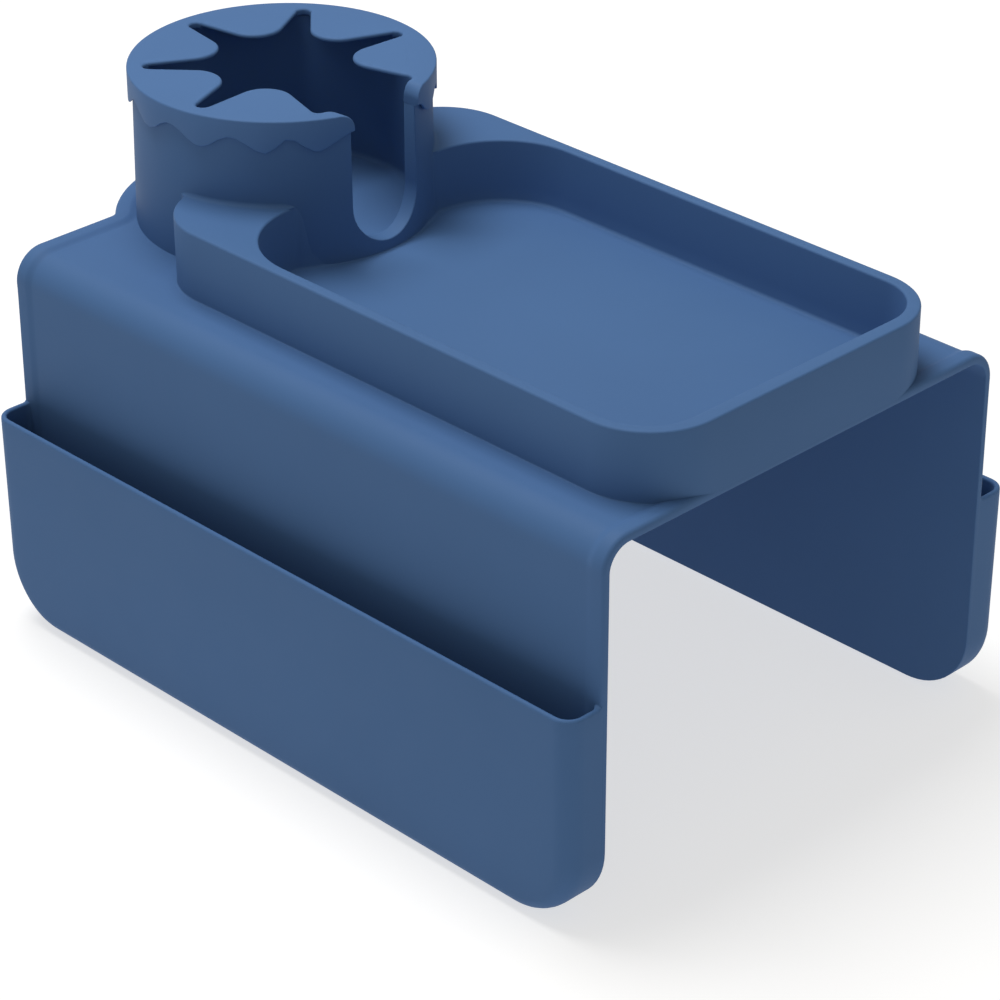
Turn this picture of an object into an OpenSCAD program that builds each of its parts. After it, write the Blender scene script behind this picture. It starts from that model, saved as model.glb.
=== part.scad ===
// Sofa arm tray: a silicone saddle that lies over the arm of a sofa.
// It carries a tray, a cup holder under a star lid, and a pocket on each flap.
// The origin is the middle of the deck's underside, where it rests on the arm.
// +X points to the right flap, -Y to the front edge and +Z up. Millimetres.

/* [Saddle] */
// Width of the sofa arm that fits between the two flaps
arm_w = 177; // [160:1:200]
// Length of the deck along the arm
deck_l = 280; // [276:1:320]
// Thickness of the silicone sheet
sheet_t = 2.2; // [1.8:0.1:3]
// Outside radius of the bend between the deck and a flap
shoulder_r = 10.5; // [8:0.5:16]
// Width of the raised hem along the front and rear edges
hem_w = 5.2; // [3:0.1:8]
// Height of the hem above the sheet
hem_rise = 1.2; // [0.6:0.1:2]
// How far the round lobe of the deck stands past the cup holder's wall
lobe_margin = 8; // [6:0.5:12]
// Radius of the inside corner between the lobe and the rear edge
lobe_fillet_r = 5; // [2:0.5:8]

/* [Flaps] */
// Drop of each flap below the deck's underside
flap_drop = 133; // [110:1:160]
// Radius of the two lower corners of a flap
flap_corner_r = 25; // [12:1:35]
// Gap in the bend where a flap hinges on the deck
flap_hinge_gap = 0.8; // [0.7:0.1:1]

/* [Tray] */
// Outside width of the tray
tray_w = 140.4; // [120:0.2:150]
// Outside length of the tray
tray_l = 235; // [200:1:236]
// Distance from the deck's front edge to the tray's front wall
tray_setback = 1; // [1:0.5:10]
// Height of the tray's rim above the deck sheet
tray_h = 24.6; // [15:0.2:35]
// Thickness of the tray's wall
tray_wall = 4.4; // [3:0.1:6]
// Thickness of the tray's floor
tray_floor_t = 1.9; // [1:0.1:3]
// Outside radius of the tray's corners
tray_corner_r = 25; // [12:1:30]
// Clear length of the recess, from the front wall to the land beside the cup holder
recess_l = 196; // [170:1:200]
// Radius of the two rear corners of the recess
recess_rear_r = 30; // [15:1:35]

/* [Cup holder] */
// Outside radius of the cup holder
cup_r = 52; // [48:0.5:56]
// Thickness of its wall
cup_wall = 5.5; // [4:0.1:5.8]
// Distance from the deck's rear edge to the middle of the cup holder
cup_setback = 37.5; // [32:0.5:42]
// Height of its wall above the deck sheet
cup_h = 53.5; // [40:0.5:80]
// Thickness of its floor
cup_floor_t = 2.4; // [1.5:0.1:4]
// Width of the slot for a mug's handle
slot_w = 30; // [20:0.5:34]
// Height of the slot's round bottom above the cup holder's floor
slot_sill = 3.6; // [2:0.1:10]
// Gap between the cup holder and the tray that is bonded round it
cup_seat_gap = 0.1; // [0.05:0.05:0.2]

/* [Star lid] */
// Thickness of the lid's plate and petals
lid_t = 2.4; // [1.6:0.1:3]
// Thickness of the skirt that grips the cup holder's rim
skirt_t = 1; // [0.8:0.1:2]
// Depth of the skirt at its longest drips, from the lid's top face
skirt_h = 11.8; // [9:0.2:16]
// Height of the scallops between the drips
scallop_h = 5.2; // [3:0.1:6]
// Radius of a scallop
scallop_r = 9; // [7:0.5:11]
// Number of drips in a full turn
drip_count = 14; // [10:1:16]
// Gap between the lid and the cup holder
lid_gap = 0.3; // [0.2:0.05:0.5]
// Distance from the lid's middle to the far end of each slit
slit_end_r = 47.5; // [47:0.1:48.5]
// Radius of the slit's round end
slit_round_r = 2.3; // [2:0.1:2.4]
// Distance from the lid's middle to the tip of each petal
petal_tip_r = 24.5; // [22:0.5:28]
// Radius of a petal's round tip
petal_tip_round_r = 10; // [8:0.5:11]
// Angle between a petal's side and its middle line
petal_side_angle = 35; // [34:0.5:36]
// Distance from the lid's middle to the straight line where a petal bends
petal_hinge_r = 41.5; // [38:0.5:41.5]
// Gap along that line
petal_hinge_gap = 0.6; // [0.5:0.1:0.9]

/* [Pockets] */
// Height of a pocket's rim above the bottom of the flap
pocket_h = 79; // [60:1:95]
// Clear depth of a pocket at its rim
pocket_rim_depth = 12.8; // [12:0.2:22]
// Clear depth of a pocket at its foot
pocket_foot_depth = 11.8; // [8:0.2:12]
// Thickness of a pocket's wall
pocket_wall = 2; // [1.5:0.1:3]
// Distance from a flap's end to the pocket's end wall
pocket_inset = 0; // [0:0.5:8]
// Radius of a pocket's upright corners
pocket_corner_r = 7; // [5:0.5:10]
// Number of compartments in the right pocket
compartment_count = 3; // [1:1:4]
// Thickness of a divider in the right pocket
divider_t = 1.6; // [1.2:0.1:2.4]
// Gap between a divider and the walls that it is bonded to
divider_gap = 0.1; // [0.05:0.05:0.2]

/* [Hidden] */
$fn = 96;

// The overrun by which every cutting shape passes the face that it cuts
cut = 1;

// The hinge plane cuts each bend half way round
hinge_angle = 45;

// How far a round corner's circle runs into the lines that it joins
round_lap = 0.02;

// Plan of the deck
flap_x = arm_w / 2 + sheet_t;
bend_x = flap_x - shoulder_r;
bend_z = sheet_t - shoulder_r;
front_y = -deck_l / 2;
rear_y = deck_l / 2;
cup_y = rear_y - cup_setback;
lobe_r = cup_r + lobe_margin;
flap_foot_z = -flap_drop;

// Heights of what stands on the deck
rim_z = sheet_t + tray_h;
tray_floor_z = sheet_t + tray_floor_t;
cup_floor_z = sheet_t + cup_floor_t;
cup_rim_z = sheet_t + cup_h;
lid_z = cup_rim_z + lid_gap;
lid_top_z = lid_z + lid_t;

// Plan of the tray and of its recess
tray_front_y = front_y + tray_setback;
recess_w = tray_w - 2 * tray_wall;
recess_front_y = tray_front_y + tray_wall;
recess_front_r = tray_corner_r - tray_wall;

// The lid and its seven places, of which the handle slot takes one
lid_r = cup_r + lid_gap + skirt_t;
place_count = 7;
place_angle = 360 / place_count;
slot_angle = 270;
petal_tip_mid = petal_tip_r + petal_tip_round_r;
petal_apex = petal_tip_mid - petal_tip_round_r / sin(petal_side_angle);

// The pocket's outer wall leans in by this angle towards its foot
pocket_lean = atan((pocket_rim_depth - pocket_foot_depth) / pocket_h);
pocket_rim_z = flap_foot_z + pocket_h;
pocket_l = deck_l - 2 * pocket_inset;
compartment_l = (pocket_l - 2 * pocket_wall) / compartment_count;

silicone = [0.27, 0.40, 0.60];
silicone_light = [0.32, 0.46, 0.66];

// A rectangle from [x0, y0] to [x1, y1] with its own radius at each end in Y
module rounded_plan(x0, y0, x1, y1, front_r, rear_r) {
    difference() {
        translate([x0, y0]) square([x1 - x0, y1 - y0]);
        for (end = [[y0, front_r, 1], [y1, rear_r, -1]])
            for (side = [[x0, 1], [x1, -1]])
                corner_waste(side[0], end[0], side[1], end[2], end[1]);
    }
}

// What rounding a corner takes away: a square less a quarter disc
module corner_waste(x, y, x_in, y_in, r) {
    difference() {
        translate([x - (x_in > 0 ? cut : r), y - (y_in > 0 ? cut : r)]) square(r + cut);
        translate([x + x_in * r, y + y_in * r]) circle(r);
    }
}

// A disc at the cup holder's middle, seen in plan
module cup_disc(r) {
    translate([0, cup_y]) circle(r);
}

// The flat of the deck in plan, with the lobe behind the cup holder
module deck_plan(inset, overrun) {
    half_w = bend_x + overrun;
    translate([-half_w, front_y + inset]) square([2 * half_w, deck_l - 2 * inset]);
    cup_disc(lobe_r - inset);
    for (side = [-1, 1]) lobe_fillet(side, inset);
}

// The inside corner between the lobe and the rear edge
module lobe_fillet(side, inset) {
    r = lobe_fillet_r + inset;
    mid_y = rear_y - inset + r - round_lap;
    reach = lobe_r - inset + r - round_lap;
    mid_x = sqrt(reach * reach - (mid_y - cup_y) * (mid_y - cup_y));
    difference() {
        polygon([[side * mid_x, rear_y - inset - cut], [side * mid_x, mid_y], [0, cup_y]]);
        translate([side * mid_x, mid_y]) circle(r);
    }
}

// A part of the bend's ring, from one angle to another, drawn across the arm
module bend_arc(outer_r, inner_r, from_angle, to_angle) {
    reach = 2 * outer_r;
    intersection() {
        difference() {
            circle(outer_r);
            circle(inner_r);
        }
        polygon([
            [0, 0],
            reach * [cos(from_angle), sin(from_angle)],
            reach * [cos((from_angle + to_angle) / 2), sin((from_angle + to_angle) / 2)],
            reach * [cos(to_angle), sin(to_angle)],
        ]);
    }
}

// Draws a cross-section, given for the right side, along the arm
module along_arm(from_y, to_y) {
    translate([0, to_y, 0]) rotate([90, 0, 0]) linear_extrude(to_y - from_y) children();
}

// The bend of one side from the deck's flat down to the flap's flat
module bend(from_angle, to_angle) {
    inner_r = shoulder_r - sheet_t;
    along_arm(front_y, rear_y) translate([bend_x, bend_z])
        bend_arc(shoulder_r, inner_r, from_angle, to_angle);
    for (strip = [[front_y, front_y + hem_w], [rear_y - hem_w, rear_y]])
        along_arm(strip[0], strip[1]) translate([bend_x, bend_z])
            bend_arc(shoulder_r + hem_rise, inner_r, from_angle, to_angle);
}

// A slab that clears the bend on one side of the hinge plane
module hinge_cut(side_of_plane) {
    hem_r = shoulder_r + hem_rise;
    translate([bend_x, 0, bend_z]) rotate([0, -hinge_angle, 0])
        translate([0, -deck_l, side_of_plane > 0 ? -hem_r : -flap_hinge_gap / 2])
            cube([2 * hem_r, 2 * deck_l, hem_r + flap_hinge_gap / 2]);
}

// The deck: flat sheet, lobe, hems and the upper half of both bends
module deck() {
    color(silicone_light) {
        linear_extrude(sheet_t) deck_plan(0, 0);
        translate([0, 0, sheet_t]) linear_extrude(hem_rise) difference() {
            deck_plan(0, 0);
            deck_plan(hem_w, cut);
        }
        for (side = [0, 1]) mirror([side, 0, 0]) difference() {
            bend(hinge_angle, 90);
            hinge_cut(1);
        }
    }
}

// The tray: a floor and a raised wall, with a wide land beside the cup holder
module tray() {
    color(silicone_light) difference() {
        translate([0, 0, sheet_t]) linear_extrude(tray_h)
            rounded_plan(-tray_w / 2, tray_front_y, tray_w / 2, tray_front_y + tray_l,
                tray_corner_r, tray_corner_r);
        translate([0, 0, tray_floor_z]) linear_extrude(tray_h)
            rounded_plan(-recess_w / 2, recess_front_y, recess_w / 2, recess_front_y + recess_l,
                recess_front_r, recess_rear_r);
        translate([0, cup_y, 0]) cylinder(r = cup_r + cup_seat_gap, h = rim_z + cut);
        tray_hem_seat();
    }
}

// Room under the tray for the front hem, which runs below its front wall
module tray_hem_seat() {
    translate([-tray_w, front_y - cut, 0])
        cube([2 * tray_w, hem_w + cut, sheet_t + hem_rise]);
}

// The cup holder: wall and floor, with the slot for a mug's handle
module cup_holder() {
    slot_mid_z = cup_floor_z + slot_sill + slot_w / 2;
    color(silicone) difference() {
        translate([0, cup_y, sheet_t]) cylinder(r = cup_r, h = cup_h);
        translate([0, cup_y, cup_floor_z]) cylinder(r = cup_r - cup_wall, h = cup_h);
        translate([0, cup_y, slot_mid_z]) rotate([90, 0, 0])
            cylinder(r = slot_w / 2, h = cup_r + cut);
        translate([-slot_w / 2, cup_y - cup_r - cut, slot_mid_z])
            cube([slot_w, cup_r + cut, cup_h]);
    }
}

// A petal's outline along +X, as a round tip on a wedge, out to a given distance
module petal_plan(reach) {
    touch_x = petal_tip_mid - petal_tip_round_r * sin(petal_side_angle);
    touch_y = petal_tip_round_r * cos(petal_side_angle);
    reach_y = petal_half_w(reach);
    intersection() {
        translate([petal_tip_mid, 0]) circle(petal_tip_round_r + round_lap);
        translate([0, -petal_tip_mid]) square([reach, 2 * petal_tip_mid]);
    }
    polygon([[touch_x, -touch_y], [reach, -reach_y], [reach, reach_y], [touch_x, touch_y]]);
}

// The angle of each petal, counted on from the handle slot
function petal_angle(index) = slot_angle + index * place_angle;

// Half the width of a petal's wedge at a distance from the lid's middle
function petal_half_w(x) = (x - petal_apex) * tan(petal_side_angle);

// The lid's flat ring with the seven slit ends, the handle slot and the petals' roots
module ring_plan() {
    slit_mid_r = slit_end_r - slit_round_r;
    root_x = petal_hinge_r + petal_hinge_gap / 2;
    difference() {
        union() {
            difference() {
                circle(lid_r);
                circle(slit_mid_r);
            }
            for (index = [1:place_count - 1]) rotate(petal_angle(index)) polygon([
                [root_x, -petal_half_w(root_x)],
                [slit_end_r, -petal_half_w(slit_end_r)],
                [slit_end_r, petal_half_w(slit_end_r)],
                [root_x, petal_half_w(root_x)],
            ]);
        }
        for (index = [1:place_count])
            rotate(petal_angle(index) - place_angle / 2)
                translate([slit_mid_r, 0]) circle(slit_round_r);
        translate([-slot_w / 2, -2 * lid_r]) square([slot_w, 2 * lid_r]);
    }
}

// The lid's ring, with the skirt that hangs in drips round the cup holder's rim
module lid_ring() {
    color(silicone_light) translate([0, cup_y, 0]) {
        translate([0, 0, lid_z]) linear_extrude(lid_t) ring_plan();
        difference() {
            translate([0, 0, lid_top_z - skirt_h]) cylinder(r = lid_r, h = skirt_h - lid_t);
            translate([0, 0, lid_top_z - skirt_h - cut]) cylinder(r = cup_r + lid_gap, h = skirt_h);
            translate([-slot_w / 2, -2 * lid_r, lid_top_z - skirt_h - cut])
                cube([slot_w, 2 * lid_r, skirt_h]);
            for (index = [1:drip_count - 1]) scallop(index);
        }
    }
}

// One scallop of the skirt, a round bite between two drips
module scallop(index) {
    bite_z = lid_top_z - skirt_h + scallop_h - scallop_r;
    rotate(slot_angle + index * 360 / drip_count) translate([cup_r - cup_wall, 0, bite_z])
        rotate([0, 90, 0]) cylinder(r = scallop_r, h = cup_wall + lid_gap + skirt_t + cut);
}

// One petal of the star, which bends down when a cup is pushed in
module petal(index) {
    color(silicone_light) translate([0, cup_y, lid_z]) rotate(petal_angle(index))
        linear_extrude(lid_t) petal_plan(petal_hinge_r - petal_hinge_gap / 2);
}

// Stands a side plan up on the right, from one distance to another
module on_side(from_x, to_x) {
    translate([from_x, 0, 0]) rotate([90, 0, 90]) linear_extrude(to_x - from_x) children();
}

// The right flap: hanging sheet, hems and the lower half of the bend
module flap() {
    on_side(arm_w / 2, flap_x) side_plan(0, 0, bend_z);
    on_side(flap_x, flap_x + hem_rise) intersection() {
        side_plan(0, 0, bend_z);
        for (end = [front_y, rear_y - hem_w])
            translate([end, flap_foot_z]) square([hem_w, flap_drop]);
    }
    difference() {
        bend(0, hinge_angle);
        hinge_cut(-1);
    }
}

// A side view's outline, in by an inset at its ends and foot, with round lower corners
module side_plan(end_inset, foot_inset, top_z) {
    foot_z = flap_foot_z + foot_inset;
    difference() {
        translate([front_y + end_inset, foot_z])
            square([deck_l - 2 * end_inset, top_z - foot_z]);
        for (side = [[front_y + end_inset, 1], [rear_y - end_inset, -1]])
            corner_waste(side[0], foot_z, side[1], 1, flap_corner_r - foot_inset);
    }
}

// The pocket's volume on the right, less an inset on every walled side
module pocket_volume(inset, top_z, from_x) {
    rim_x = flap_x + pocket_rim_depth + pocket_wall - inset;
    end_y = front_y + pocket_inset + inset;
    intersection() {
        on_side(from_x, 2 * flap_x) side_plan(pocket_inset + inset, inset, top_z);
        translate([rim_x, 0, pocket_rim_z]) rotate([0, pocket_lean, 0])
            translate([0, 0, -2 * pocket_h]) linear_extrude(3 * pocket_h)
                rounded_side_plan(end_y, pocket_corner_r - inset);
    }
}

// A plan whose two corners at X = 0 are round, reaching in past the flap
module rounded_side_plan(end_y, r) {
    difference() {
        translate([-2 * pocket_h, end_y]) square([2 * pocket_h, -2 * end_y]);
        for (end = [[end_y, 1], [-end_y, -1]]) corner_waste(0, end[0], -1, end[1], r);
    }
}

// The right pocket: outer wall, end walls and foot, open at the top
module pocket() {
    difference() {
        pocket_volume(0, pocket_rim_z, flap_x);
        pocket_volume(pocket_wall, pocket_rim_z + cut, flap_x - cut);
        pocket_hem_seat();
    }
}

// Room in the pocket's end walls for the flap's hems
module pocket_hem_seat() {
    for (end = [front_y, rear_y - hem_w])
        translate([flap_x - cut, end - cut, flap_foot_z - cut])
            cube([hem_rise + cut, hem_w + 2 * cut, flap_drop]);
}

// One divider of the right pocket, from the flap to the outer wall
module divider(index) {
    mid_y = front_y + pocket_inset + pocket_wall + index * compartment_l;
    color(silicone) intersection() {
        pocket_volume(pocket_wall + divider_gap, pocket_rim_z, flap_x + divider_gap);
        translate([0, mid_y - divider_t / 2, flap_foot_z])
            cube([2 * flap_x, divider_t, flap_drop]);
    }
}

module right_flap() {
    color(silicone) flap();
}

module right_pocket() {
    color(silicone_light) pocket();
}

module left_flap() {
    color(silicone) mirror([1, 0, 0]) flap();
}

module left_pocket() {
    color(silicone_light) mirror([1, 0, 0]) pocket();
}

deck();
tray();
cup_holder();
lid_ring();
petal(1);  // petal_1
petal(2);  // petal_2
petal(3);  // petal_3
petal(4);  // petal_4
petal(5);  // petal_5
petal(6);  // petal_6
left_flap();
left_pocket();
right_flap();
right_pocket();
divider(1);  // front_divider
divider(2);  // rear_divider
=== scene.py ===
import math

import bmesh
import bpy
import numpy as np
from mathutils import Matrix, Vector


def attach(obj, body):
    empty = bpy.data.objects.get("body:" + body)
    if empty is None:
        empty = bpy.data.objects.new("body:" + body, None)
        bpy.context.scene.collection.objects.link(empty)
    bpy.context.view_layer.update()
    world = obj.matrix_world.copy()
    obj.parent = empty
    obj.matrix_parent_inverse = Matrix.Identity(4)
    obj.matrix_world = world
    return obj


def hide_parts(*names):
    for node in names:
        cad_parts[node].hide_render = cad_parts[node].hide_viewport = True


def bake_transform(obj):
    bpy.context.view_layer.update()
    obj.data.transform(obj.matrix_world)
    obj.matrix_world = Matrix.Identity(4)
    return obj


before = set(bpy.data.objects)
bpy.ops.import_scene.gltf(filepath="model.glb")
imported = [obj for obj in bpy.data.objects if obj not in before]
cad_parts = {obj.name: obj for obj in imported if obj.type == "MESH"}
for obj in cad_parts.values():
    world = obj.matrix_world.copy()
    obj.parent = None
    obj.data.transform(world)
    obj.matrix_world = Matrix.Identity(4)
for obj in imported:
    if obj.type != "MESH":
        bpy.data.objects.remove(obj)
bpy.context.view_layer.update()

# The deck
# The flat silicone sheet that lies on the sofa's arm, moulded with a raised hem on its front and rear edges.
# It ends in a round lobe behind the cup holder; the tray hides the line where the hanging sides begin.

mm = 0.001
sheet = 2.2
under_flat, under_round = 2.2, 0.3
hem_top, hem_round = 3.4, 1.3
front_hem, front_round = 3.2, 1.6
hem_wide, hem_fade = 6.4, 3.6
front_y, rear_y = -140.0, 140.0
seam_x = 68.0
cup_y = 102.5
lobe_r = 60.0
lobe_corner_r = 5.0
under_turn = 0.25
under_step, hem_step = 22.5, 18.0
hem_rows, hem_reach = 7, 0.9
weld, sliver = 4e-6, 1e-6
crease = math.radians(34)


def arc(x, y, radius, start, stop, step=6.0, steps=0):
    """Points on a round line seen from above, counted in degrees, each with the normal that leaves its middle."""
    steps = steps or max(1, math.ceil(abs(stop - start) / step))
    turns = np.radians(np.linspace(start, stop, steps + 1))
    normals = np.stack([np.cos(turns), np.sin(turns)], 1)
    return np.array([x, y]) + radius * normals, normals


def eased(s):
    """A share from 0 to 1 with a slow start and a slow end."""
    return s * s * (3 - 2 * s)


def edge_profile(rise, high):
    """A sheet's edge as (distance in, height), from the underside to the flat top, under a hem of one rise."""
    top = sheet + rise
    line = [(under_flat, 0.0), (under_round + under_turn, 0.0)]
    line += [tuple(p) for p in arc(under_round, under_round, under_round, 270, 180, under_step)[0]]
    line += [tuple(p) for p in arc(high, top - high, high, 180, 90, hem_step)[0]]
    line += [(hem_wide + hem_fade * (s - 0.5), top - rise * eased(s))
             for s in np.linspace(0, hem_reach, hem_rows)]
    return np.array(line + [(hem_wide + hem_fade / 2, sheet), (hem_wide + hem_fade, sheet)])


def loft(name, rings, look, end="cap", closed=False):
    """One closed piece, from rings of points in millimetres that run from one end to the other."""
    rings = np.array(rings, float)
    count, size = rings.shape[:2]
    faces = []
    for r in range(count if closed else count - 1):
        for k in range(size):
            nxt, after = (r + 1) % count, (k + 1) % size
            faces.append((r * size + k, r * size + after, nxt * size + after, nxt * size + k))
    last = (count - 1) * size
    if not closed:
        faces.append(tuple(range(size)))
        if end == "cap":
            faces.append(tuple(range(last, last + size)))
        else:
            faces += [(last + k, last + k + 1, last + size - 2 - k, last + size - 1 - k)
                      for k in range(size // 2 - 1)]
    mesh = bpy.data.meshes.new(name)
    mesh.from_pydata((rings.reshape(-1, 3) * mm).tolist(), [], faces)
    work = bmesh.new()
    work.from_mesh(mesh)
    bmesh.ops.remove_doubles(work, verts=work.verts, dist=weld)
    bmesh.ops.dissolve_degenerate(work, edges=work.edges, dist=sliver)
    bmesh.ops.recalc_face_normals(work, faces=work.faces)
    work.to_mesh(mesh)
    work.free()
    mesh.shade_smooth()
    mesh.set_sharp_from_angle(angle=crease)
    mesh.materials.append(look)
    piece = bpy.data.objects.new(name, mesh)
    bpy.context.scene.collection.objects.link(piece)
    return piece


def wire(tree, box, inputs):
    """Gives a node its inputs, each a plain value or the socket that feeds it."""
    for name, given in inputs.items():
        if isinstance(given, bpy.types.NodeSocket):
            tree.links.new(given, box.inputs[name])
        else:
            box.inputs[name].default_value = given
    return box


def put(tree, kind, inputs, operation=None):
    """Adds a node of one kind to a tree and gives it its inputs."""
    box = tree.nodes.new(kind)
    if operation:
        box.operation = operation
    return wire(tree, box, inputs)


def finish_group():
    """The finish of moulded silicone: a faint mottle in the colour, a matt grain, and small changes in sheen."""
    group = bpy.data.node_groups.new("silicone_finish", "ShaderNodeTree")
    face = group.interface
    face.new_socket("Colour", in_out="INPUT", socket_type="NodeSocketColor")
    for name, value in (("Mottle", 0.05), ("Grain Size", 2600.0), ("Roughness", 0.6), ("Rough Change", 0.08)):
        face.new_socket(name, in_out="INPUT", socket_type="NodeSocketFloat").default_value = value
    for name, kind in (("Colour", "Color"), ("Roughness", "Float"), ("Height", "Float")):
        face.new_socket(name, in_out="OUTPUT", socket_type="NodeSocket" + kind)
    given = group.nodes.new("NodeGroupInput").outputs
    place = group.nodes.new("ShaderNodeTexCoord").outputs["Object"]
    cloud = put(group, "ShaderNodeTexNoise", {"Vector": place, "Scale": 16, "Detail": 3})
    smear = put(group, "ShaderNodeTexNoise", {"Vector": place, "Scale": 70, "Detail": 2})
    grain = put(group, "ShaderNodeTexNoise", {"Vector": place, "Scale": given["Grain Size"], "Detail": 2})
    spread = put(group, "ShaderNodeMapRange", {"To Min": -1, "To Max": 1, "Value": cloud.outputs["Fac"]})
    amount = put(group, "ShaderNodeMath", {0: spread.outputs[0], 1: given["Mottle"], 2: 1}, "MULTIPLY_ADD")
    tint = put(group, "ShaderNodeVectorMath", {0: given["Colour"], "Scale": amount.outputs[0]}, "SCALE")
    shift = put(group, "ShaderNodeMath", {0: smear.outputs["Fac"], 1: 0.5}, "SUBTRACT")
    rough = put(group, "ShaderNodeMath",
                {0: shift.outputs[0], 1: given["Rough Change"], 2: given["Roughness"]}, "MULTIPLY_ADD")
    put(group, "NodeGroupOutput",
        {"Colour": tint.outputs[0], "Roughness": rough.outputs[0], "Height": grain.outputs["Fac"]})
    return group


silicone_finish = finish_group()


def silicone(name, colour, roughness, grain_size=2600, grain_depth=0.00003):
    """One silicone: the shared finish, with its own colour, sheen and grain."""
    look = bpy.data.materials.new(name)
    look.use_nodes = True
    tree = look.node_tree
    finish = tree.nodes.new("ShaderNodeGroup")
    finish.node_tree = silicone_finish
    wire(tree, finish, {"Colour": (*colour, 1), "Roughness": roughness, "Grain Size": grain_size})
    bump = put(tree, "ShaderNodeBump",
               {"Strength": 0.2, "Distance": grain_depth, "Height": finish.outputs["Height"]})
    wire(tree, tree.nodes["Principled BSDF"], {
        "Specular IOR Level": 0.15, "Base Color": finish.outputs["Colour"],
        "Roughness": finish.outputs["Roughness"], "Normal": bump.outputs["Normal"]})
    return look


sheet_silicone = silicone("sheet_silicone", (0.078, 0.172, 0.375), 0.62)

hem_profile = edge_profile(hem_top - sheet, hem_round)
front_profile = edge_profile(front_hem - sheet, front_round)
corner_y = rear_y + lobe_corner_r
corner_x = math.sqrt((lobe_r + lobe_corner_r) ** 2 - (corner_y - cup_y) ** 2)
corner_turn = math.degrees(math.atan2(corner_y - cup_y, corner_x))
outside = arc(corner_x, corner_y, lobe_corner_r, 270, 180 + corner_turn)
bulge = arc(0, cup_y, lobe_r, corner_turn, 180 - corner_turn, 3)
half = [((seam_x, rear_y), (0, 1))] + list(zip(outside[0], -outside[1])) + list(zip(*bulge))
half += [((-p[0], p[1]), (-n[0], n[1])) for p, n in half[len(outside[0])::-1]]

rings = []
for p, n in half:
    rear = [(p[0] - n[0] * d, p[1] - n[1] * d, h) for d, h in hem_profile]
    front = [(rear[-1][0], front_y + d, h) for d, h in front_profile]
    rings.append(front + rear[::-1])
deck = loft("deck_sheet", rings, sheet_silicone)
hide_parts("deck")
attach(deck, "saddle")

# The hanging sides
# Each side is the same sheet carried on over the arm's shoulder and down to a foot with round corners.
# Its hems run on from the deck and thin out below the shoulder, where the real silicone bends when a side is lifted;
# this sheet is not made to bend.

shoulder_r = 10.5
bend_x, bend_z = 80.2, -8.3
foot_z = -133.0
corner_r = 25.0
edge_round, hem_loss = 0.5, 0.45
thin_from, thin_over, thin_round_corner = 6.0, 16.0, 1.3
bend_end = bend_x + shoulder_r * math.pi / 2
foot_run = bend_end + (bend_z - foot_z)
deck_runs, bend_steps, foot_step = [seam_x, 74.0], 18, 6.0
hanging_runs = [99.0, 102.0, 106.0, 120.0, 150.0, 180.0]


def share(value):
    """A number held between 0 and 1."""
    return min(1.0, max(0.0, value))


def over_shoulder(run, along, height, side):
    """The place of a point of the flat sheet once it is bent over the shoulder; run counts from the middle."""
    inner_r = shoulder_r - sheet
    if run <= bend_x:
        return side * run, along, height
    if run < bend_end:
        turn = (run - bend_x) / shoulder_r
        reach = inner_r + height
        return side * (bend_x + reach * math.sin(turn)), along, bend_z + reach * math.cos(turn)
    return side * (bend_x + inner_r + height), along, bend_z - (run - bend_end)


def side_outline():
    """Place, inward normal and share of the hem that is left, along a side's front edge from the seam to its foot."""
    line = []
    for run in deck_runs + list(np.linspace(bend_x, bend_end, bend_steps + 1)) + hanging_runs:
        hem_left = 1 - hem_loss * eased(share((run - bend_x - thin_from) / thin_over))
        line.append(((run, front_y), (0.0, 1.0), hem_left))
    spots, normals = arc(foot_run - corner_r, front_y + corner_r, corner_r, 270, 360, foot_step)
    for k, (p, n) in enumerate(zip(spots, normals)):
        round_corner = min(1, thin_round_corner * k / (len(spots) - 1))
        hem_left = (1 - hem_loss) * (0.5 + 0.5 * math.cos(math.pi * round_corner))
        line.append(((p[0], p[1]), (-n[0], -n[1]), hem_left))
    return line


for side, body, node in ((-1, "left_side", "left_flap"), (1, "right_side", "right_flap")):
    rings = []
    for (run, along), n, hem_left in side_outline():
        front, rear = [], []
        for line, top, high, way in ((front, front_hem, front_round, 1), (rear, hem_top, hem_round, -1)):
            for d, h in edge_profile((top - sheet) * hem_left, edge_round + (high - edge_round) * hem_left):
                line.append(over_shoulder(run + n[0] * d, (along + n[1] * d) * way, h, side))
        rings.append(front + rear[::-1])
    flap = loft(body + "_sheet", rings, sheet_silicone, end="strip")
    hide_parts(node)
    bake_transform(flap)

# The pockets
# A thin wall moulded onto each hanging side, flush with its ends and its foot.
# The upright corners and the foot are round, the rim is a full round that climbs a little where it meets the side.

flap_x = 90.7
wall = 2.0
rim_z = -54.0
rim_out, foot_out = 14.8, 13.8
flush, wall_sunk = 0.03, 0.9
upright_r, foot_edge_r = 7.0, 5.0
cove_r = 2.8
climb_r = 2.0
wall_rows = (rim_z - wall / 2, -60.0, -75.0, -92.0)
bond_rows = (-wall_sunk, 0.2, 0.4, 1.1, 2.1, 3.3, 4.7)
past_corner = 3.0
low_corner_step = 5.0
cove_steps, turn_steps, rim_steps = 5, 8, 6


def quarter(steps):
    """The angles of a quarter turn, in radians."""
    return np.radians(np.linspace(0, 90, steps + 1))


def wall_x(z):
    """How far out the outer face of a pocket stands at one height."""
    return flap_x + rim_out - (rim_out - foot_out) * (rim_z - z) / (rim_z - foot_z)


def pocket_outline():
    """Place, inward normal and share of the way to the foot, from the rim down and round one lower corner."""
    line = [((front_y, z), (1.0, 0.0), 0.0) for z in wall_rows]
    spots, normals = arc(front_y + corner_r, foot_z + corner_r, corner_r, 180, 270, low_corner_step)
    return line + [(tuple(p), (-n[0], -n[1]), k / (len(spots) - 1))
                   for k, (p, n) in enumerate(zip(spots, normals))]


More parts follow.
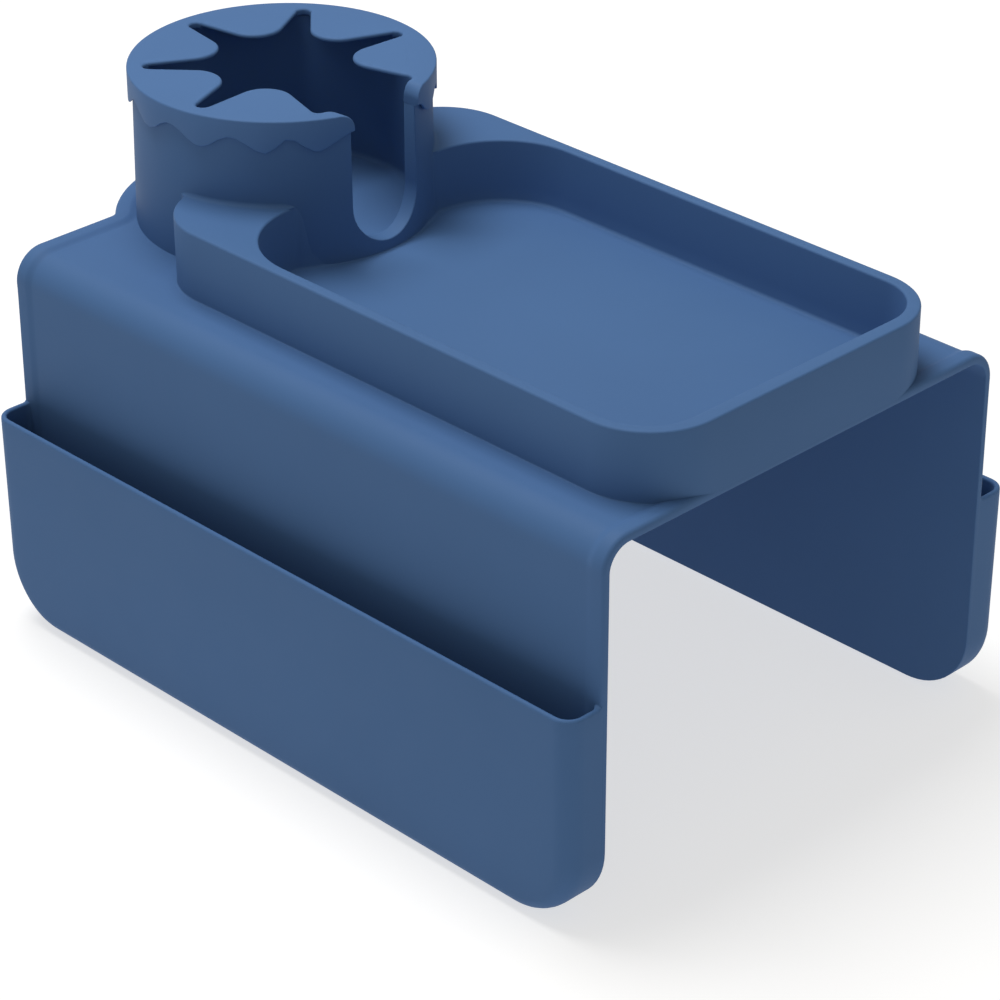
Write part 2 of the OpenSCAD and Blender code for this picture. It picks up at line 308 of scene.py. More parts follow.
def pocket_profile(down, inset):
    """Half of the wall's section as (distance in, distance out from the side, share of the lean)."""
    turn_r = upright_r + (foot_edge_r - upright_r) * eased(down) - inset
    if inset == 0:
        line = [(flush, out, 0) for out in bond_rows]
    else:
        line = [(inset + cove_r, -wall_sunk, 0)]
        line += [(inset + cove_r - cove_r * math.sin(t), cove_r - cove_r * math.cos(t), 0)
                 for t in quarter(cove_steps)]
    for t in quarter(turn_steps):
        line.append((max(inset, flush) + turn_r - turn_r * math.cos(t), -inset - turn_r + turn_r * math.sin(t), 1))
    return line + [(inset + turn_r + past_corner, -inset, 1)]


def pocket_line(p, n, down, inset, side):
    """One half of the wall's outer or inner line at a station of the outline."""
    points = []
    for d, out, leans in pocket_profile(down, inset):
        y, z = p[0] + n[0] * d, p[1] + n[1] * d
        points.append((side * (out + (wall_x(z) if leans else flap_x)), y, z))
    return points


def climb(points):
    """How much higher the rim stands at points close to the side, where a small cove carries it up."""
    off = np.clip(np.abs(points[:, 0]) - flap_x, 0, climb_r)
    return (climb_r - np.sqrt(climb_r ** 2 - (climb_r - off) ** 2))[:, None] * [0, 0, 1]


pocket_silicone = silicone("pocket_silicone", (0.076, 0.170, 0.370), 0.60)

for side, body, node in ((-1, "left_side", "left_pocket"), (1, "right_side", "right_pocket")):
    halves = [np.array(pocket_line(p, n, down, wall, side)[::-1] + pocket_line(p, n, down, 0, side))
              for p, n, down in pocket_outline()]
    inner_half = halves[0][:len(halves[0]) // 2][::-1]
    outer_half = halves[0][len(halves[0]) // 2:]
    middle, reach = (outer_half + inner_half) / 2, (outer_half - inner_half) / 2
    rim = []
    for t in quarter(rim_steps)[:0:-1]:
        up = np.array([0, 0, wall / 2 * math.sin(t)])
        line = np.concatenate([(middle - reach * math.cos(t) + up)[::-1], middle + reach * math.cos(t) + up])
        rim.append(line + climb(line))
    rings = [np.concatenate([h, (h * [1, -1, 1])[::-1]]) for h in rim + halves]
    pocket = loft(node + "_wall", rings, pocket_silicone, end="strip")
    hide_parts(node)
    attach(pocket, body)

# The dividers
# Two thin webs part the right pocket into three; each has a rounded top and widens where it is bonded.
# They are one web, repeated along the pocket by Geometry Nodes.

web_half, web_cove, web_sunk, web_foot_sunk = 0.8, 1.2, 0.3, 0.6
web_gap = 92.0
web_count = 2
web_top, web_low = rim_z, foot_z + wall - web_foot_sunk
web_columns = (0.0, 0.3, 0.6, 0.95, 1.5, 2.4)
web_top_turns, web_rows = (88, 70, 50, 30, 12), 9


def geometry_tree(name, inputs, made):
    """A Geometry Nodes tree with named inputs and one output, and the sockets that carry its inputs."""
    tree = bpy.data.node_groups.new(name, "GeometryNodeTree")
    for label, kind in inputs:
        tree.interface.new_socket(label, in_out="INPUT", socket_type="NodeSocket" + kind)
    tree.interface.new_socket(made, in_out="OUTPUT", socket_type="NodeSocketGeometry")
    return tree, tree.nodes.new("NodeGroupInput").outputs


def end_with_copies(tree, made, finish, inputs):
    """Ends a tree with a copy of a piece on every point, made real and given its material."""
    copies = put(tree, "GeometryNodeInstanceOnPoints", inputs)
    real = put(tree, "GeometryNodeRealizeInstances", {"Geometry": copies.outputs["Instances"]})
    coat = put(tree, "GeometryNodeSetMaterial", {"Geometry": real.outputs["Geometry"], "Material": finish})
    put(tree, "NodeGroupOutput", {made: coat.outputs["Geometry"]})


def repeat_tree():
    """Repeats a web along the pocket, centred on the arm's middle."""
    tree, given = geometry_tree(
        "repeat_webs", (("Web", "Geometry"), ("Count", "Int"), ("Gap", "Float"), ("Finish", "Material")), "Webs")
    less = put(tree, "ShaderNodeMath", {0: given["Count"], 1: 1}, "SUBTRACT")
    span = put(tree, "ShaderNodeMath", {0: less.outputs[0], 1: given["Gap"]}, "MULTIPLY")
    first = put(tree, "ShaderNodeMath", {0: span.outputs[0], 1: -0.5}, "MULTIPLY")
    start = put(tree, "ShaderNodeCombineXYZ", {"Y": first.outputs[0]})
    step = put(tree, "ShaderNodeCombineXYZ", {"Y": given["Gap"]})
    row = put(tree, "GeometryNodeMeshLine",
              {"Count": given["Count"], "Start Location": start.outputs[0], "Offset": step.outputs[0]})
    row.mode = "OFFSET"
    end_with_copies(tree, "Webs", given["Finish"], {"Points": row.outputs["Mesh"], "Instance": given["Web"]})
    return tree


def grown(base, tree, name, values):
    """A plain mesh piece from what a Geometry Nodes tree makes of a base piece."""
    modifier = base.modifiers.new("made", "NODES")
    modifier.node_group = tree
    for socket in tree.interface.items_tree:
        if socket.in_out == "INPUT" and socket.name in values:
            modifier[socket.identifier] = values[socket.name]
    bpy.context.view_layer.update()
    ready = base.evaluated_get(bpy.context.evaluated_depsgraph_get())
    mesh = bpy.data.meshes.new_from_object(ready)
    mesh.name = name
    base.modifiers.remove(modifier)
    mesh.materials.clear()
    mesh.materials.append(values["Finish"])
    piece = bpy.data.objects.new(name, mesh)
    bpy.context.scene.collection.objects.link(piece)
    return piece


def web_ring(z, full):
    """One level section of a web, from the side out to the pocket's wall and back; full is its share of thickness."""
    near, far = flap_x - web_sunk, wall_x(z) - wall + web_sunk
    line = []
    for x in [near + s for s in web_columns] + [far - s for s in web_columns[::-1]]:
        bond = share((min(x - near, far - x) - web_sunk) / web_cove)
        line.append((x, full * (web_half + web_cove * (1 - math.sqrt(1 - (1 - bond) ** 2))), z))
    return line + [(x, -y, z) for x, y, z in line[::-1]]


rings = [web_ring(web_top - web_half + web_half * math.sin(t), math.cos(t))
         for t in np.radians(web_top_turns)]
rings += [web_ring(z, 1.0) for z in np.linspace(web_top - web_half, web_low, web_rows)]
web = loft("web", rings, pocket_silicone)
webs = grown(web, repeat_tree(), "pocket_dividers",
             {"Count": web_count, "Gap": web_gap * mm, "Finish": pocket_silicone})
bpy.data.objects.remove(web)
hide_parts("front_divider", "rear_divider")
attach(webs, "right_side")

# The tray
# A floor and a raised wall moulded on the deck, with a wide land on both sides of the cup holder.
# The front wall leans out to the deck's edge, every rim is rounded, and soft inside corners follow the cup holder.

tray_x, recess_x = 70.2, 65.8
rim_front, foot_front, tray_rear = -139.0, -139.97, 96.0
recess_front, recess_foot, recess_rear = -133.4, -134.6, 61.4
rim_corner_r, foot_corner_r, tray_corner_r = 25.7, 27.5, 26.5
recess_corner_r, recess_rear_r = 19.6, 32.0
tray_rim, tray_floor, low_wall = 26.8, 4.1, 9.6
cup_r = 52.0
foot_cove, side_draft, floor_cove, rim_round = 0.5, -0.2, 1.2, 0.8
recess_draft, floor_edge = 1.5, 0.8
outer_fill, inner_fill = 4.0, 5.0
tuck_deep, tuck_from, tuck_over = 0.35, 6.5, 3.0
corner_steps, fill_steps, cup_steps = 18, 8, 24
tuck_steps, draft_steps, round_steps = 2, 8, 5
base_z, under_sheet = 1.0, 0.02
on_middle = 1e-6


def meet(a, reach_a, b, reach_b):
    """The right-hand point at given distances from two others."""
    a, b = np.array(a), np.array(b)
    gap = np.hypot(*(b - a))
    along = (gap * gap + reach_a * reach_a - reach_b * reach_b) / (2 * gap)
    off = math.sqrt(reach_a * reach_a - along * along)
    unit = (b - a) / gap
    spots = [a + unit * along + off * np.array([-unit[1], unit[0]]) * s for s in (-1, 1)]
    return max(spots, key=lambda p: p[0])


def bearing(a, b):
    """The direction from one point to another, in degrees."""
    return math.degrees(math.atan2(b[1] - a[1], b[0] - a[0]))


def at_turn(radius, turn):
    """The point at a distance from the middle, in a direction given in degrees."""
    return radius * math.cos(math.radians(turn)), radius * math.sin(math.radians(turn))


def both_halves(pieces):
    """A closed outline from arcs of its right half, the last of which follows the cup holder.

    Gives its points, its normals, and how many steps along the cup holder each point lies.
    """
    spots, normals = (np.concatenate([piece[k] for piece in pieces]) for k in (0, 1))
    steps = np.maximum(np.arange(len(spots)) - len(spots) + len(pieces[-1][0]), 0)
    flip = np.array([-1, 1])
    keep = spots[:, 0] > on_middle
    return (np.concatenate([spots, (spots * flip)[keep][::-1]]),
            np.concatenate([normals, (normals * flip)[keep][::-1]]),
            np.concatenate([steps, steps[keep][::-1]]))


cup_middle = (0.0, cup_y)
outer_corner = (tray_x - tray_corner_r, tray_rear - tray_corner_r)
fill_at = meet(cup_middle, cup_r + outer_fill, outer_corner, tray_corner_r + outer_fill)
to_corner, to_cup = bearing(fill_at, outer_corner), bearing(fill_at, cup_middle)
hollow, hollow_n = arc(*fill_at, outer_fill, to_corner % 360, to_cup % 360, steps=fill_steps)
back, back_n = arc(0, cup_y, cup_r, bearing(cup_middle, fill_at), 90, steps=cup_steps)


def tray_line(down):
    """The tray's outer line and its outward normals, at a share of the way from the rim down to the foot."""
    y, r = rim_front + (foot_front - rim_front) * down, rim_corner_r + (foot_corner_r - rim_corner_r) * down
    return both_halves([
        arc(tray_x - r, y + r, r, 270, 360, steps=corner_steps),
        arc(*outer_corner, tray_corner_r, 0, bearing(outer_corner, fill_at), steps=corner_steps),
        (hollow, -hollow_n), (back, back_n)])


inner_y = recess_rear - inner_fill
inner_at = (math.sqrt((cup_r + inner_fill) ** 2 - (cup_y - inner_y) ** 2), inner_y)
front, front_n = arc(0, cup_y, cup_r, bearing(cup_middle, inner_at), -90, steps=cup_steps)


def recess_line(down):
    """The same for the recess inside the tray's wall."""
    y, r = recess_front + (recess_foot - recess_front) * down, recess_corner_r
    return both_halves([
        arc(recess_x - r, y + r, r, 270, 360, steps=corner_steps),
        arc(recess_x - recess_rear_r, recess_rear - recess_rear_r, recess_rear_r, 0, 90, steps=corner_steps),
        arc(*inner_at, inner_fill, 90, bearing(inner_at, cup_middle), steps=fill_steps),
        (front, -front_n)])


def outline_ring(outline, shift, z):
    """An outline moved along its normals, at one height, tucked into the cup holder's wall where it follows it."""
    down = min(1, (tray_rim - z) / (tray_rim - sheet))
    line, out, steps = outline(down)
    tucks, free = np.clip(steps / tuck_steps, 0, 1)[:, None], 1 - np.clip(steps / draft_steps, 0, 1)[:, None]
    if outline is recess_line:
        shift = shift - recess_draft * down * free
    else:
        shift = min(shift, 0) + (max(shift, 0) + side_draft * down * (1 - tucks)) * np.clip(1 + out[:, 1:], 0, 1)
    ring = line + out * shift
    from_cup = ring - np.array(cup_middle)
    tuck = tuck_deep * tucks * share((z - tuck_from) / tuck_over)
    ring = ring - from_cup / np.hypot(*from_cup.T)[:, None] * tuck
    return [(x, y, z) for x, y in ring]


rounded_rim = [(rim_round * math.cos(t) - rim_round, tray_rim - rim_round + rim_round * math.sin(t))
               for t in quarter(round_steps)]
outer_rows = [(foot_cove, base_z), (foot_cove, sheet - under_sheet)]
outer_rows += [(foot_cove - foot_cove * math.sin(t), sheet + foot_cove - foot_cove * math.cos(t))
               for t in quarter(round_steps)]
outer_rows += [(0.0, low_wall), (0.0, tray_rim - rim_round)] + rounded_rim
inner_rows = [(-s, z) for s, z in rounded_rim[::-1]] + [(0.0, low_wall)]
inner_rows += [(-(floor_cove - floor_cove * math.cos(t)), tray_floor + floor_cove - floor_cove * math.sin(t))
               for t in quarter(round_steps)]
inner_rows.append((-(floor_cove + floor_edge), tray_floor))

rings = [outline_ring(tray_line, s, z) for s, z in outer_rows]
rings += [outline_ring(recess_line, s, z) for s, z in inner_rows]
tray = loft("tray_body", rings, sheet_silicone)

# Room for the cup holder's well and for its slot, cut out of the tray
cut_r, cut_corners, cut_half = 49.4, 96, 17.6
well_cut_low, slot_cut_low, cut_high = -5.0, 6.5, 60.0
cut_front, cut_rear = 40.0, 60.0
well_spots = arc(0, cup_y, cut_r, 0, 360 - 360 / cut_corners, steps=cut_corners - 1)[0]
slot_spots = ((-cut_half, cut_front), (cut_half, cut_front), (cut_half, cut_rear), (-cut_half, cut_rear))
cutters = [loft(name, [[(x, y, z) for x, y in spots] for z in (low, cut_high)], sheet_silicone)
           for name, spots, low in (("well_cut", well_spots, well_cut_low), ("slot_cut", slot_spots, slot_cut_low))]
for cutter in cutters:
    cut = tray.modifiers.new("cut", "BOOLEAN")
    cut.operation, cut.solver, cut.object = "DIFFERENCE", "EXACT", cutter
bpy.context.view_layer.update()
cut_mesh = bpy.data.meshes.new_from_object(tray.evaluated_get(bpy.context.evaluated_depsgraph_get()))
tray.modifiers.clear()
tray.data = cut_mesh
for cutter in cutters:
    bpy.data.objects.remove(cutter)

# Coves where the two lands meet the cup holder, thinning out to nothing at both rims
land_gap_front, land_gap_rear, land_steps = 1.5, 1.0, 24
land_from = bearing(cup_middle, inner_at) + land_gap_front
land_to = bearing(cup_middle, fill_at) - land_gap_rear
land_cove, land_fade, land_thin, land_sunk = 1.8, 7.0, 0.02, 0.5
strips = []
for side in (-1, 1):
    rings = []
    for turn in np.linspace(land_from, land_to, land_steps + 1):
        end = share(min(turn - land_from, land_to - turn) / land_fade)
        size = max(land_thin, land_cove * math.sqrt(1 - (1 - end) ** 2))
        outline = [(cup_r - land_sunk, tray_rim - land_sunk), (cup_r + size, tray_rim - land_sunk)]
        outline += [(cup_r + size - size * math.sin(t), tray_rim + size - size * math.cos(t))
                    for t in quarter(round_steps)]
        outline += [(cup_r - land_sunk, tray_rim + size)]
        c, s = at_turn(1, turn)
        rings.append([(side * r * c, cup_y + r * s, z) for r, z in outline])
    strips.append(loft("land_cove", rings, sheet_silicone))
work = bmesh.new()
for part in [tray] + strips:
    work.from_mesh(part.data)
work.to_mesh(tray.data)
work.free()
for part in strips:
    bpy.data.objects.remove(part)
tray.data.materials.clear()
tray.data.materials.append(sheet_silicone)
tray.data.shade_smooth()
tray.data.set_sharp_from_angle(angle=crease)
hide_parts("tray")
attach(tray, "saddle")

# The cup holder
# A round well with a slot for a mug's handle, open at the top and round at the bottom.
# The slot is cut straight through the thick wall, and a cove runs round the floor inside.

well_r = 46.5
cup_foot, cup_floor, cup_rim = 1.2, 4.6, 55.7
slot_half, slot_mid_z = 15.0, 23.2
slot_round = 0.5
slot_turn, turn_end, turn_fade = 1.6, 24.0, 5.0
draft, draft_top, draft_span, draft_true = 0.9, 48.0, 40.0, 0.45
mouth, mouth_low, mouth_from, mouth_fade = 1.6, 46.0, 28.0, 12.0
well_cove = 2.0
lip_round = 0.7
edge_steps, slot_steps = 5, 18
roll_from, roll_r = 19.6, 4.7
beside_slot = (17.2, 17.9, 18.6, 19.3)
wall_from, wall_steps = -64.0, 56
floor_free = 0.1


def rolled(x):
    """How far the rim, and the lid over it, roll down towards the slot at one distance from its middle."""
    reach = min(roll_r, max(0.0, roll_from - abs(x)))
    return roll_r - math.sqrt(roll_r * roll_r - reach * reach)


def slot_ring(place, normal):
    """One section where the slot is cut: from the middle under the floor, over the slot's edge, to the middle."""
    x, z = place

    def on_wall(radius, inset, depth):
        """A point of the slot's edge on the wall's outer or inner face."""
        edge = x + normal[0] * inset
        level = z + normal[1] * inset
        return edge, cup_y - math.sqrt(radius * radius - edge * edge) + depth, min(level, cup_rim - rolled(edge))

    outer, inner = on_wall(cup_r, slot_round, 0), on_wall(well_r, slot_round, 0)
    bends = quarter(edge_steps)
    over = [on_wall(cup_r, slot_round * (1 - math.sin(t)), slot_round * (1 - math.cos(t))) for t in bends]
    over += [on_wall(well_r, slot_round * (1 - math.sin(t)), -slot_round * (1 - math.cos(t))) for t in bends[::-1]]
    return closed_section(outer, inner, over)


def closed_section(outer, inner, over):
    """Adds the foot, the floor's cove and the middle to the points that run over the wall."""
    unit = np.array([inner[0], inner[1] - cup_y]) / well_r
    ring = [(0.0, cup_y, cup_foot), (*outer[:2], cup_foot), (*outer[:2], min(slot_mid_z, outer[2]))] + over
    ring.append((*inner[:2], min(slot_mid_z, inner[2])))
    for t in quarter(edge_steps):
        reach = well_r - well_cove * (1 - math.cos(t))
        ring.append((unit[0] * reach, cup_y + unit[1] * reach, cup_floor + well_cove * (1 - math.sin(t))))
    return ring + [(0.0, cup_y, cup_floor)]


def wall_ring(outer, inner):
    """One section of the plain wall, with a small round on both edges of its rim."""
    outer, inner = np.array(outer), np.array(inner)
    across = (inner - outer) / np.hypot(*(inner - outer))
    outside, inside = [], []
    for t in quarter(edge_steps):
        for line, spot, way in ((outside, outer, across), (inside, inner, -across)):
            x, y = spot + way * lip_round * (1 - math.cos(t))
            line.append((x, y, cup_rim - lip_round * (1 - math.sin(t)) - rolled(x) * (y < cup_y)))
    return closed_section((*outer, cup_rim), (*inner, cup_rim), outside + inside[::-1])


def wall_spot(x, radius):
    """A point on a round line about the cup holder's middle, in front of it, at one distance to the side."""
    return x, cup_y - math.sqrt(radius * radius - x * x)


def turned_slot(x, y):
    """A point beside the slot turned a little about the cup holder's middle, as the real slot sits; others stay."""
    reach, away = math.hypot(x, y - cup_y), math.degrees(math.atan2(x, cup_y - y))
    away = math.radians(away + slot_turn * share((turn_end - abs(away)) / turn_fade))
    return reach * math.sin(away), cup_y - reach * math.cos(away)


def cast(x, y, z):
    """The mould's draft on a point of the cup holder: the outside widens to the foot, the well to its mouth."""
    beside = math.degrees(math.atan2(abs(x), cup_y - y))
    x, y = turned_slot(x, y)
    reach = math.hypot(x, y - cup_y)
    wider = draft * (share((draft_top - z) / draft_span) - draft_true)
    wall_share = share((reach - well_r) / (cup_r - well_r))
    opens = mouth * share((z - mouth_low) / (cup_rim - mouth_low)) * share((beside - mouth_from) / mouth_fade)
    wider = wider * wall_share + opens * (1 - wall_share) * (reach > well_r - floor_free)
    grow = 1 + wider / max(reach, 1)
    return x * grow, cup_y + (y - cup_y) * grow, z


half = [slot_ring((slot_half * math.cos(t), slot_mid_z + slot_half * math.sin(t)), (math.cos(t), math.sin(t)))
        for t in np.radians(np.linspace(-90, 0, slot_steps + 1))]
half.append(slot_ring((slot_half, cup_rim), (1.0, 0.0)))
half += [wall_ring(wall_spot(x, cup_r), wall_spot(x, well_r)) for x in beside_slot]
for turn in np.linspace(wall_from, 90, wall_steps + 1):
    c, s = at_turn(1, turn)
    half.append(wall_ring((cup_r * c, cup_y + cup_r * s), (well_r * c, cup_y + well_r * s)))
half[-1] = [(0.0, y, z) for _, y, z in half[-1]]
rings = half + [[(-x, y, z) for x, y, z in ring] for ring in half[-2:0:-1]]
rings = [[cast(*p) for p in ring] for ring in rings]
cup = loft("cup_holder_body", rings, sheet_silicone, closed=True)
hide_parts("cup_holder")
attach(cup, "saddle")

# The lid
# A soft cap pressed over the cup holder's rim: a flat ring, cut as a star, whose skirt hangs down in drips.
# Where the handle slot passes, the seventh petal is missing and the cap's corners are rounded away.

lid_r, lid_top, lid_low = 53.3, 58.4, 56.0
place_turn = 360 / 7
petal_slope = 35.0
petal_apex = 17.07
petal_low, petal_mid = 56.9, 57.5
tip_r, slit_r = 10.0, 2.4
slit_reach = 45.2
root_in = 1.5
root_lap, root_sink = 0.6, 0.05
bending_run, stiff_run = 7.5, 8.6
top_round, low_round = 0.9, 0.4
cap_end, cap_back = 14.9, 1.1
cap_round, cap_sunk = 0.6, 0.4
skirt_wall, skirt_edge, skirt_top = 1.0, 0.2, lid_low - 0.01
drip_mid, drip_high = 49.4, 2.6
drip_turns = (16.0, 29.0, 39.5, 47.5, 61.0, 73.0, 87.0, 100.0, 113.0, 126.0, 139.0, 151.5, 165.5, 180.0)
drip_edge = ((0.0, 0.5), (0.05, 0.22), (0.2, 0.05), (0.4, 0.0))
slit_steps, root_steps, end_steps = 10, 12, 9
top_steps, low_steps, tip_steps = 4, 3, 16
bending_rows, stiff_rows = 12, 7

lid_silicone = silicone("lid_silicone", (0.086, 0.188, 0.410), 0.58, grain_size=3000)


def turned(p, degrees):
    """A plan point or direction turned about the lid's middle."""
    c, s = at_turn(1, degrees)
    return np.array([p[0] * c - p[1] * s, p[0] * s + p[1] * c])


side_n = np.array([math.sin(math.radians(petal_slope)), -math.cos(math.radians(petal_slope))])
side_d = np.array([-side_n[1], side_n[0]])
slit_at = turned((slit_reach, 0), place_turn / 2)
root_run = (slit_at - np.array([petal_apex, 0])) @ side_d
root_spot = np.array([petal_apex, 0]) + side_d * root_run
seam_spot = root_spot + side_n * root_in


def edge_rows(low):
    """The edge of the star as (distance in, height), from its top to an underside at one height."""
    rows = [(root_in, lid_top), (top_round, lid_top)]
    rows += [(top_round - top_round * math.sin(t), lid_top - top_round + top_round * math.cos(t))
             for t in quarter(top_steps)[1:]]
    rows += [(low_round - low_round * math.cos(t), low + low_round - low_round * math.sin(t))
             for t in quarter(low_steps)]
    return rows + [(root_in, low)]


def petal_rings():
    """A petal that points along X, as ladders across it from its root to its tip."""
    straight_end = root_run - tip_r / math.tan(math.radians(petal_slope))
    runs = np.concatenate([np.linspace(0, bending_run, bending_rows),
                           np.linspace(stiff_run, straight_end, stiff_rows)])
    half = [(root_spot - side_d * run, side_n) for run in runs]
    tip = arc(petal_apex + tip_r / math.sin(math.radians(petal_slope)), 0, tip_r,
              90 + petal_slope, 180, steps=tip_steps)
    half += list(zip(tip[0][1:], -tip[1][1:]))
    half.insert(0, (half[0][0] + np.array([root_lap, 0]), half[0][1]))
    rings = []
    for k, (spot, n) in enumerate(half):
        near = [(*(spot + n * d), z) for d, z in edge_rows(petal_low)]
        near = [(x, max(y, 0.0), z + (root_sink if z < petal_mid else -root_sink) * (k == 0)) for x, y, z in near]
        rings.append(near[::-1] + [(x, -y, z) for x, y, z in near])
    return rings


def drip_z(turn):
    """Height of the skirt's edge at one turn: smooth waves, drawn closer together beside the slot."""
    away = abs((turn - 270 + 180) % 360 - 180)
    step = np.interp(away, drip_turns, range(len(drip_turns)))
    return drip_mid + drip_high * math.cos(math.pi * step)


def cap_section(inner, inner_n, outer, outer_n, hang):
    """A closed section of the cap's ring: the star's edge, the top, the skirt and the underside."""
    inner, inner_n, outer, outer_n = (np.array(v, float) for v in (inner, inner_n, outer, outer_n))
    edge = [(*(inner + inner_n * d), z) for d, z in edge_rows(lid_low)[::-1]]
    rows = [(cap_round - cap_round * math.sin(t), lid_top - cap_round + cap_round * math.cos(t))
            for t in quarter(top_steps)]
    rows += [(d, hang + up) for d, up in drip_edge]
    rows += [(skirt_wall - skirt_edge, hang), (skirt_wall, hang + skirt_edge)]
    rows += [(skirt_wall, lid_low), (skirt_wall + cap_sunk, lid_low)]
    over = [(*(outer + outer_n * d), z) for d, z in rows]
    section = []
    for k, (x, y, z) in enumerate(edge + over):
        sinks = rolled(x) if y < 0 else 0.0
        on_skirt = k >= len(edge) and rows[k - len(edge)][1] < skirt_top
        section.append((x, cup_y + y, z if on_skirt else z - sinks))
    return section


def star_section(spot, away, swing=0.0):
    """A section that runs straight out from a point of the star's edge, or swings a little to one side."""
    turn = bearing((0, 0), spot) + swing
    rim = np.array(at_turn(lid_r, turn))
    return cap_section(spot, away, rim, -rim / lid_r, drip_z(turn))


def slit_sections(middle, first, last, skipped=0, swing=0.0):
    """The sections round the end of a slit, from one turn about its middle to another."""
    span = (last - first + 180) % 360 - 180
    sections = []
    for k in range(skipped, slit_steps + 1):
        away = np.array(at_turn(1, first + span * k / slit_steps))
        sections.append(star_section(middle + slit_r * away, away, swing * (1 - k / slit_steps)))
    return sections


half = []
slit_low = turned((slit_reach, 0), 270 + place_turn / 2)
slit_front = slit_low[1] - slit_r
for t in quarter(end_steps)[::-1]:
    x = roll_from - (roll_from - cap_end) * math.sin(t)
    rim = (x, -math.sqrt(lid_r ** 2 - x * x))
    turn = bearing((0, 0), rim)
    half.append(cap_section((x, slit_front - cap_back * math.sin(t)), (0, -1), rim, (0, 1), drip_z(turn)))
swing = turn - bearing((0, 0), (slit_low[0], slit_front))
for place in (1, 2, 3):
    axis = 270 + place * place_turn
    before, after = axis - place_turn / 2, axis + place_turn / 2
    middle = turned((slit_reach, 0), before)
    root = bearing(middle, turned((root_spot[0], -root_spot[1]), axis)) % 360
    half += slit_sections(middle, 270, root, 1, swing) if place == 1 else slit_sections(middle, before % 360, root, 1)
    for y in np.linspace(-seam_spot[1], seam_spot[1], root_steps + 1):
        half.append(star_section(turned((seam_spot[0], y), axis), (0, 0)))
    middle = turned((slit_reach, 0), after)
    half += slit_sections(middle, bearing(middle, turned(root_spot, axis)) % 360, after)
half[-1] = [(0.0, y, z) for _, y, z in half[-1]]
rings = half + [[(-x, y, z) for x, y, z in ring] for ring in half[-2::-1]]
rings = [[(*turned_slot(x, y), z) for x, y, z in ring] for ring in rings]
cap = loft("lid_cap", rings, lid_silicone)
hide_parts("lid_ring")
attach(cap, "star_lid")


def petal_tree():
    """Puts a petal at its place round the lid."""
    tree, given = geometry_tree("petal_in_place", (
        ("Petal", "Geometry"), ("Place", "Int"), ("Place Turn", "Float"), ("Slot Turn", "Float"),
        ("Middle", "Float"), ("Finish", "Material")), "Petals")
    turn = put(tree, "ShaderNodeMath", {0: given["Place"], 1: given["Place Turn"], 2: given["Slot Turn"]},
               "MULTIPLY_ADD")
    angle = put(tree, "ShaderNodeCombineXYZ", {"Z": turn.outputs[0]})
    shift = put(tree, "ShaderNodeCombineXYZ", {"Y": given["Middle"]})
    point = put(tree, "GeometryNodePoints", {"Position": shift.outputs[0]})
    end_with_copies(tree, "Petals", given["Finish"],
                    {"Points": point.outputs[0], "Instance": given["Petal"], "Rotation": angle.outputs[0]})
    return tree


petal = loft("petal", petal_rings(), lid_silicone)
in_place = petal_tree()
for place, body in enumerate(("first_petal", "second_petal", "third_petal",
                              "fourth_petal", "fifth_petal", "sixth_petal"), 1):
    skin = grown(petal, in_place, "star_" + body, {
        "Place": place, "Place Turn": math.radians(place_turn), "Slot Turn": math.radians(270),
        "Middle": cup_y * mm, "Finish": lid_silicone})
    c, s = turned((1, 0), 270 + place * place_turn)
    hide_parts(f"petal_{place}")
    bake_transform(skin)
bpy.data.objects.remove(petal)

# The room
# A large sheet of pale studio paper under the saddle, a dim warm sky, two soft boxes and the camera.
# None of it belongs to the object.

paper_z, paper_half = -0.1345, 6.0
plain_glow, seen_glow = 0.33, 0.64
lens, sensor = 129.40, 36
stand = Vector((-0.75440, -0.76789, 0.53517))
turn, tilt, roll = -0.7792, 0.51505, -0.0008

paper_mesh = bpy.data.meshes.new("studio_paper")
paper_mesh.from_pydata(
    [(x * paper_half, y * paper_half, paper_z) for x, y in ((-1, -1), (1, -1), (1, 1), (-1, 1))],
    [], [(0, 1, 2, 3)])
paper = bpy.data.objects.new("studio_paper", paper_mesh)
bpy.context.scene.collection.objects.link(paper)

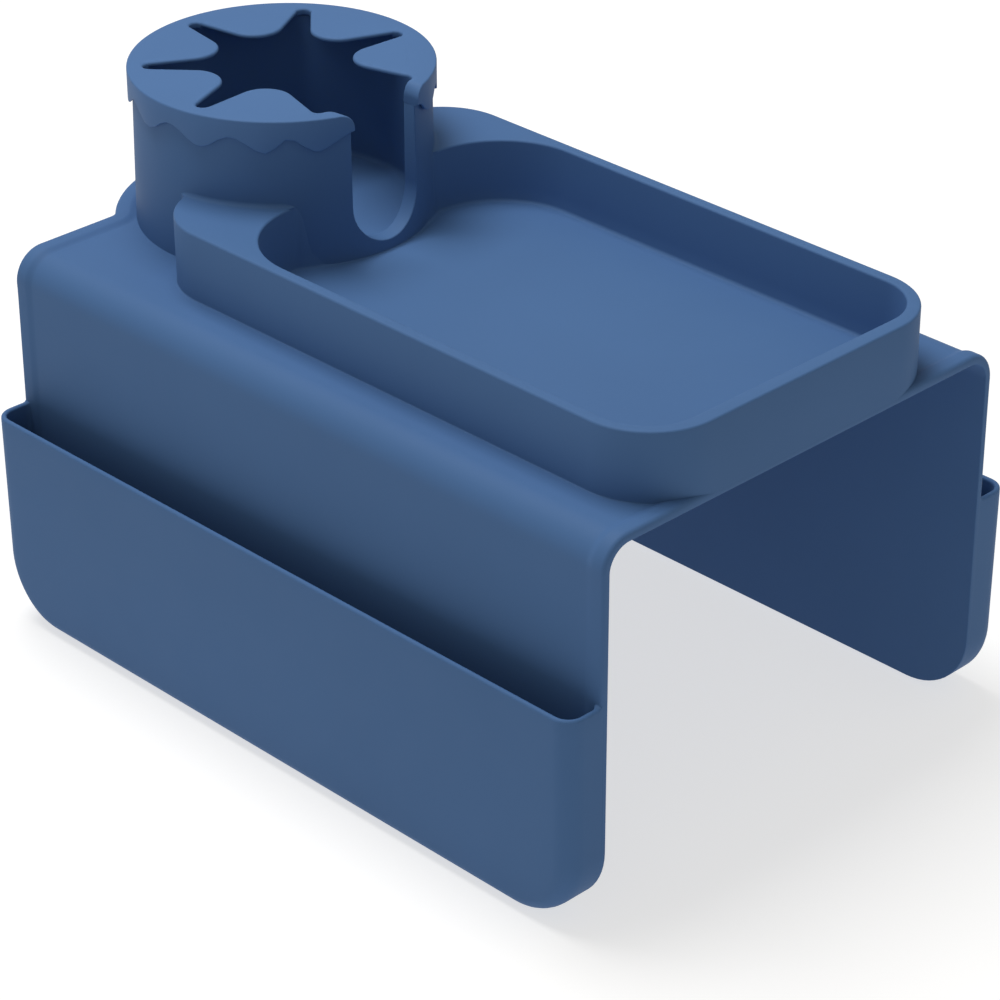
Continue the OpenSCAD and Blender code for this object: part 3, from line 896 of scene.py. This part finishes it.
paper_look = bpy.data.materials.new("studio_paper")
paper_look.use_nodes = True
tree = paper_look.node_tree
seen = tree.nodes.new("ShaderNodeLightPath").outputs
either = put(tree, "ShaderNodeMath", {0: seen["Is Camera Ray"], 1: seen["Is Glossy Ray"]}, "MAXIMUM")
glow = put(tree, "ShaderNodeMapRange", {"To Min": plain_glow, "To Max": seen_glow, "Value": either.outputs[0]})
wire(tree, tree.nodes["Principled BSDF"], {
    "Base Color": (0.5, 0.5, 0.5, 1), "Roughness": 0.9, "Specular IOR Level": 0.1,
    "Emission Color": (1, 1, 1, 1), "Emission Strength": glow.outputs[0]})
paper_mesh.materials.append(paper_look)

world = bpy.data.worlds.new("studio")
bpy.context.scene.world = world
world.use_nodes = True
tree = world.node_tree
sky = wire(tree, tree.nodes["Background"], {"Color": (1, 0.95, 0.84, 1), "Strength": 0.30})
backdrop = put(tree, "ShaderNodeBackground", {"Color": (1, 1, 1, 1)})
seen = tree.nodes.new("ShaderNodeLightPath").outputs
either = put(tree, "ShaderNodeMath", {0: seen["Is Camera Ray"], 1: seen["Is Transmission Ray"]}, "MAXIMUM")
shown = put(tree, "ShaderNodeMixShader", {"Fac": either.outputs[0], 1: sky.outputs[0], 2: backdrop.outputs[0]})
wire(tree, tree.nodes["World Output"], {"Surface": shown.outputs[0]})


def soft_box(name, place, aim, size, power):
    """A square lamp at one place, turned to face another."""
    lamp = bpy.data.lights.new(name, "AREA")
    lamp.shape = "SQUARE"
    lamp.size = size
    lamp.energy = power
    holder = bpy.data.objects.new(name, lamp)
    holder.location = place
    holder.rotation_euler = (Vector(aim) - Vector(place)).to_track_quat("-Z", "Y").to_euler()
    bpy.context.scene.collection.objects.link(holder)


soft_box("overhead_box", (-0.08, 0.55, 1.85), (0, 0, 0), 1.1, 27)
soft_box("left_box", (-1.9, -1.0, 0.15), (0, 0, -0.06), 0.9, 0.3)

bpy.context.scene.view_settings.view_transform = "Standard"

camera_data = bpy.data.cameras.new("camera")
camera_data.sensor_width = sensor
camera_data.lens = lens
camera = bpy.data.objects.new("camera", camera_data)
back = Vector((math.sin(turn) * math.cos(tilt), -math.cos(turn) * math.cos(tilt), math.sin(tilt)))
level_right = Vector((math.cos(turn), math.sin(turn), 0))
level_up = back.cross(level_right)
right = level_right * math.cos(roll) + level_up * math.sin(roll)
up = level_up * math.cos(roll) - level_right * math.sin(roll)
camera.matrix_world = Matrix((
    (right.x, up.x, back.x, stand.x),
    (right.y, up.y, back.y, stand.y),
    (right.z, up.z, back.z, stand.z),
    (0, 0, 0, 1)))
bpy.context.scene.collection.objects.link(camera)
bpy.context.scene.camera = camera
